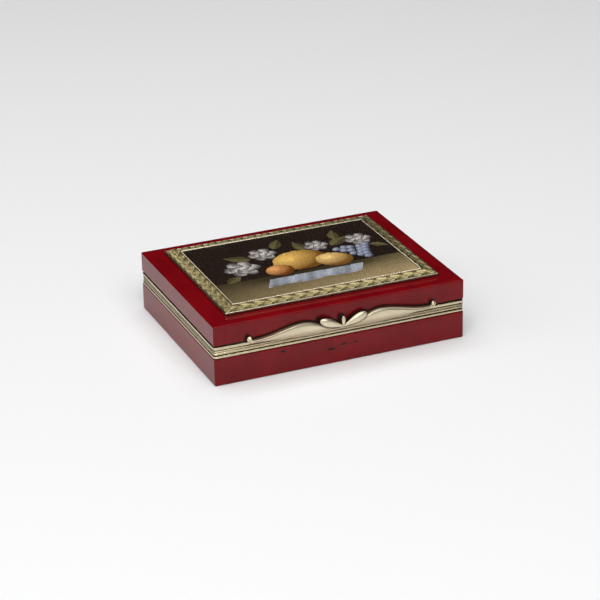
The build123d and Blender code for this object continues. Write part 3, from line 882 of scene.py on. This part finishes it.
# the top and the four sides of a block whose points are its four lower and four upper corners
blockFaces = np.array([(4, 5, 6, 7)] + [(a, (a + 1) % 4, (a + 1) % 4 + 4, a + 4) for a in range(4)])
stillLife = {
    "ground": [(0.009, 0.005, 0.004), (0.020, 0.012, 0.009)],
    "ledge": (0.345, 0.262, 0.13),
    "ledgeLine": -7.5,    # where the ledge ends against the dark
    # centre, half sizes and lean of each fruit, with its dark and its light colour
    "fruit": [
        (0.5, 0.5, 9.2, 7.4, 8, (0.22, 0.09, 0.012), (0.92, 0.58, 0.15)),
        (10.5, -3.5, 6.0, 5.2, -15, (0.25, 0.11, 0.02), (0.95, 0.66, 0.24)),
        (-8.5, -4.5, 4.6, 4.1, 0, (0.20, 0.05, 0.01), (0.85, 0.42, 0.14)),
    ],
    "grapes": (19.5, -0.5),   # middle of the bunch
    # the dark and the light colour of a grape, of a rose's petal and of a leaf
    "grape": [(0.02, 0.024, 0.05), (0.42, 0.47, 0.60)],
    "petal": [(0.15, 0.13, 0.14), (0.97, 0.93, 0.84)],
    "leaf": [(0.015, 0.016, 0.01), (0.16, 0.13, 0.05)],
    # centre and radius of each rose, and its rings: how many petals, how far out, how large
    "roses": [(-19.0, 1.5, 5.4), (-9.0, 9.5, 4.4), (9.5, 9.0, 3.8), (24.0, 8.5, 4.2)],
    "rings": [(6, 0.62, 0.5), (5, 0.38, 0.42), (3, 0.15, 0.3)],
    # root, length, half width and direction of each leaf
    "leaves": [(-14, 7, 9, 2.3, 150), (-4, 12, 8, 2.0, 60), (14, 7, 9, 2.2, 35), (5, 7, 8, 2.0, 100),
               (-22, -4, 7, 1.9, 215), (26, 3, 6, 1.7, -35), (17, 11, 8, 1.8, 75)],
    "cloth": {"from": -17.0, "to": 15.0, "low": -15.5, "high": -10.0, "light": (0.46, 0.50, 0.58)},
}
panelLow, panelHigh = (np.array(v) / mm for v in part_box("mosaic_panel"))


def roundForm(base, light, centreX, centreY, radiusX, radiusY, x, y, colours, lean=0.0):
    # Lays one rounded form over the colours: lighter on a slope towards the upper left, darker
    # with the cube of the distance from its middle, and with a soft highlight
    c, k = np.cos(np.radians(lean)), np.sin(np.radians(lean))
    u = ((x - centreX) * c + (y - centreY) * k) / radiusX
    v = (-(x - centreX) * k + (y - centreY) * c) / radiusY
    r = np.hypot(u, v)
    highlight = np.exp(-((u + 0.35) ** 2 + (v - 0.35) ** 2) / 0.1)
    lit = 0.5 - 0.55 * (u - v) / 2 ** 0.5 - 0.4 * r ** 3 + 0.45 * highlight
    lit = np.clip(lit, 0, 1)[:, None]
    form = np.array(base) * (1 - lit) * 0.8 + np.array(light) * lit
    return np.where((r < 1)[:, None], form, colours)


def leafShape(x, y, rootX, rootY, length, halfWidth, turn, colours):
    # A pointed leaf: its half width is a sine along it; one side of the rib is lighter
    c, k = np.cos(np.radians(turn)), np.sin(np.radians(turn))
    along = ((x - rootX) * c + (y - rootY) * k) / length
    across = -(x - rootX) * k + (y - rootY) * c
    inside = np.clip(along, 0, 1)
    half = halfWidth * np.sin(np.pi * inside ** 0.8) + 1e-6
    light = np.where(across > 0, 0.75, 0.35) * (1.1 - 0.5 * inside)
    light = light + 0.35 * np.exp(-(across / 0.25) ** 2)
    dark, bright = (np.array(colour) for colour in stillLife["leaf"])
    leaf = dark + bright * light[:, None]
    return np.where(((np.abs(across) < half) & (along > 0) & (along < 1))[:, None], leaf, colours)


def roseShape(x, y, centreX, centreY, radius, colours):
    # Rings of overlapping petals, each ring smaller and turned against the last
    for ring, (count, place, size) in enumerate(stillLife["rings"]):
        for turn in (np.arange(count) + 0.5 * ring) * 360 / count:
            c, k = np.cos(np.radians(turn)), np.sin(np.radians(turn))
            colours = roundForm(*stillLife["petal"], centreX + place * radius * c,
                                centreY + place * radius * k, size * radius, 0.8 * size * radius,
                                x, y, colours, turn)
    return colours


def paintStillLife(x, y):
    # Fruit, grapes and white roses on a stone ledge with a pale cloth, against the dark
    look = stillLife
    speckle = rng.uniform(0, 1, (len(x), 1))
    dark = np.array(look["ground"][0]) * (1 - speckle) + np.array(look["ground"][1]) * speckle
    depth = np.clip((look["ledgeLine"] - y) / 14, 0, 1)[:, None]
    ledge = np.array(look["ledge"]) * (0.22 + 0.80 * depth) * (0.88 + 0.24 * speckle)
    ledge = ledge * (0.9 + 0.012 * x)[:, None]
    colours = np.where((y < look["ledgeLine"])[:, None], ledge, dark)
    cast = np.exp(-((x - 2) / 22) ** 6 - ((y + 9.5) / 3.0) ** 2)[:, None]
    colours = colours * (1 - 0.65 * cast * (y < look["ledgeLine"])[:, None])
    cloth = look["cloth"]
    lean = 0.5 * (y - cloth["low"])
    edge = 0.3 * np.sin(x * 0.45)
    onCloth = (x > cloth["from"] + lean) & (x < cloth["to"] + lean)
    onCloth = onCloth & (y > cloth["low"] + edge) & (y < cloth["high"])
    hem = np.exp(-((y - cloth["low"] - edge - 0.9) / 0.25) ** 2)
    fold = 0.78 + 0.16 * np.sin(0.55 * (x - lean)) + 0.1 * np.sin(1.5 * (x - lean) + 0.3 * y) - 0.3 * hem
    colours = np.where(onCloth[:, None], np.array(cloth["light"]) * fold[:, None], colours)
    for rootX, rootY, length, halfWidth, turn in look["leaves"]:
        colours = leafShape(x, y, rootX, rootY, length, halfWidth, turn, colours)
    for centreX, centreY, halfX, halfY, lean, base, light in look["fruit"]:
        colours = roundForm(base, light, centreX, centreY, halfX, halfY, x, y, colours, lean)
    grapeX, grapeY = look["grapes"]
    for row in range(5):
        for k in range(5 - row):
            cx = grapeX + (k - (4 - row) / 2) * 2.5 + 0.6 * row + 0.35 * np.sin(3.1 * row + 2.3 * k)
            cy = grapeY + 3.5 - row * 2.3 + 0.5 * np.sin(2.1 * row + 1.7 * k)
            colours = roundForm(*look["grape"], cx, cy, 1.6, 1.6, x, y, colours)
    for centreX, centreY, radius in look["roses"]:
        colours = roseShape(x, y, centreX, centreY, radius, colours)
    return colours * (1 + rng.uniform(-0.13, 0.13, (len(x), 1)))


def makeMosaic():
    # Tiles on a grid whose rows wave; each is a low block with a small bevel and its own tilt
    look = mosaicShape
    length, depth = panelHigh[:2] - look["margin"]
    columns, rows = (int(2 * size / look["tile"]) for size in (length, depth))
    i, j = np.meshgrid(np.arange(columns) + 0.5, np.arange(rows) + 0.5)
    x = (-length + 2 * length * i / columns).ravel()
    y = (-depth + 2 * depth * j / rows).ravel()
    fade = np.clip((depth - np.abs(y)) / 2, 0, 1)
    y = y + fade * look["wave"] * np.sin(x / 3.1 + 1.3 * np.sin(y / 4.7))
    fadeX = np.clip((length - np.abs(x)) / 2, 0, 1)
    x = x + fadeX * (rng.uniform(-0.05, 0.05, len(x)) + (np.arange(len(x)) // columns % 2 - 0.5) * 0.2)
    half = look["tile"] / 2 - look["joint"]
    size = half * rng.uniform(0.88, 1.04, (len(x), 1, 2))
    jitter = rng.uniform(-0.03, 0.03, (len(x), 4, 2))
    outer = squareCorners * size + jitter
    inner = squareCorners * (size - look["bevel"]) + jitter
    turn = rng.uniform(-0.12, 0.12, len(x))
    c, k = np.cos(turn)[:, None], np.sin(turn)[:, None]
    tops = panelHigh[2] - rng.uniform(0.0, 0.006, (len(x), 4))

    def placed(corners, z):
        px = x[:, None] + corners[..., 0] * c - corners[..., 1] * k
        py = y[:, None] + corners[..., 0] * k + corners[..., 1] * c
        return np.stack([px, py, z], 2)

    low = placed(outer, np.full(tops.shape, panelHigh[2] - look["below"] - hair))
    high = placed(inner, tops)
    tiles = np.concatenate([low, high], 1)
    start = (np.arange(len(x)) * 8)[:, None]
    tileFaces = (start[:, :, None] + blockFaces).reshape(-1, 4)
    tileColours = np.repeat(paintStillLife(x, y), 8, 0)
    top = panelHigh[2] - look["below"]
    bottom = panelLow[2]
    slabPoints = np.concatenate([np.c_[squareCorners * panelHigh[:2], np.full(4, z)] for z in (bottom, top)])
    count = len(x) * 8
    slabFaces = np.concatenate([[(3, 2, 1, 0)], blockFaces])
    points = np.concatenate([tiles.reshape(-1, 3), slabPoints])
    colours = np.concatenate([tileColours, np.full((8, 3), 0.04)])
    colours = np.c_[np.clip(colours, 0, 1), np.ones(len(colours))]
    joint = np.concatenate([np.zeros(count), np.ones(8)])
    makePiece("mosaic_tiles", points, [tileFaces, slabFaces + count], "mosaicGlass", "lid", "mosaic_glass",
              nodes=("mosaic_panel",), sharp=20, values={"joint": joint}, colours={"tileColour": colours})


makeMosaic()
print("stage: mosaic")


# The room: a pale floor, four soft lights and nearly black surroundings

floorLook = {"colour": (0.80, 0.81, 0.825), "roughness": 0.85, "size": 4.0}
lightLook = {
    "key": {"at": (-0.3, -0.85, 1.05), "size": (1.5, 0.8), "watts": 19.0, "colour": (1.0, 0.985, 0.975)},
    "top": {"at": (0.0, 0.15, 1.1), "size": (1.3, 0.8), "watts": 5.5, "colour": (1.0, 0.99, 0.98)},
    "far": {"at": (-0.3, 1.3, 2.45), "size": (1.8, 0.8), "watts": 8.5, "colour": (1.0, 1.0, 1.0)},
    "side": {"at": (-1.0, 0.1, 0.5), "size": (0.8, 0.8), "watts": 2.8, "colour": (1.0, 0.99, 0.98)},
}
roomColour = (0.005, 0.005, 0.006)
viewLook = {
    "azimuth": -22.6991,
    "elevation": 24.1152,
    "roll": -1.0922,
    "lens": 138.03,
    "sensor": 36.0,
    "distance": 0.7392,
    "aside": -0.00023,
    "above": 0.00711,
}


def makeFloor():
    half = floorLook["size"] / 2
    corners = [(-half, -half, 0), (half, -half, 0), (half, half, 0), (-half, half, 0)]
    mesh = bpy.data.meshes.new("floor")
    mesh.from_pydata(corners, [], [(0, 1, 2, 3)])
    mesh.update()
    paint = Finish("floorPaint", Roughness=floorLook["roughness"])
    grain = paint.noise(2.0, detail=4.0)
    colour = paint.mix(grain, floorLook["colour"], tuple(c * 0.985 for c in floorLook["colour"]))
    mesh.materials.append(paint.set(Base_Color=colour, Normal=paint.bump(grain, 0.01)).material)
    floor = bpy.data.objects.new("floor", mesh)
    bpy.context.scene.collection.objects.link(floor)


def makeLights():
    for name, look in lightLook.items():
        lamp = bpy.data.lights.new(name, "AREA")
        lamp.shape = "RECTANGLE"
        lamp.size, lamp.size_y = look["size"]
        lamp.energy = look["watts"]
        lamp.color = look["colour"]
        light = bpy.data.objects.new(name, lamp)
        light.location = look["at"]
        towards = Vector((0, 0, 0.01)) - Vector(look["at"])
        light.rotation_euler = towards.to_track_quat("-Z", "Y").to_euler()
        bpy.context.scene.collection.objects.link(light)
    world = bpy.data.worlds.new("room")
    world.use_nodes = True
    world.node_tree.nodes["Background"].inputs["Color"].default_value = (*roomColour, 1.0)
    bpy.context.scene.world = world


def makeCamera():
    # The view direction from its two angles, then rolled about itself
    look = viewLook
    azimuth, elevation, roll = (np.radians(look[k]) for k in ("azimuth", "elevation", "roll"))
    outward = np.array([np.sin(azimuth), -np.cos(azimuth), 0.0])
    back = outward * np.cos(elevation) + np.array([0.0, 0.0, np.sin(elevation)])
    level = np.array([np.cos(azimuth), np.sin(azimuth), 0.0])
    upright = np.cross(back, level)
    right = level * np.cos(roll) + upright * np.sin(roll)
    up = upright * np.cos(roll) - level * np.sin(roll)
    lens = bpy.data.cameras.new("view")
    lens.lens = look["lens"]
    lens.sensor_width = look["sensor"]
    lens.clip_end = 20.0
    camera = bpy.data.objects.new("view", lens)
    location = look["aside"] * right + look["above"] * up + look["distance"] * back
    turn = np.stack([right, up, back], 1)
    camera.matrix_world = Matrix.LocRotScale(Vector(location), Matrix(turn.tolist()), None)
    bpy.context.scene.collection.objects.link(camera)
    bpy.context.scene.camera = camera


makeFloor()
makeLights()
makeCamera()
bpy.context.scene.view_settings.view_transform = "Standard"
print("stage: room, lights and camera")
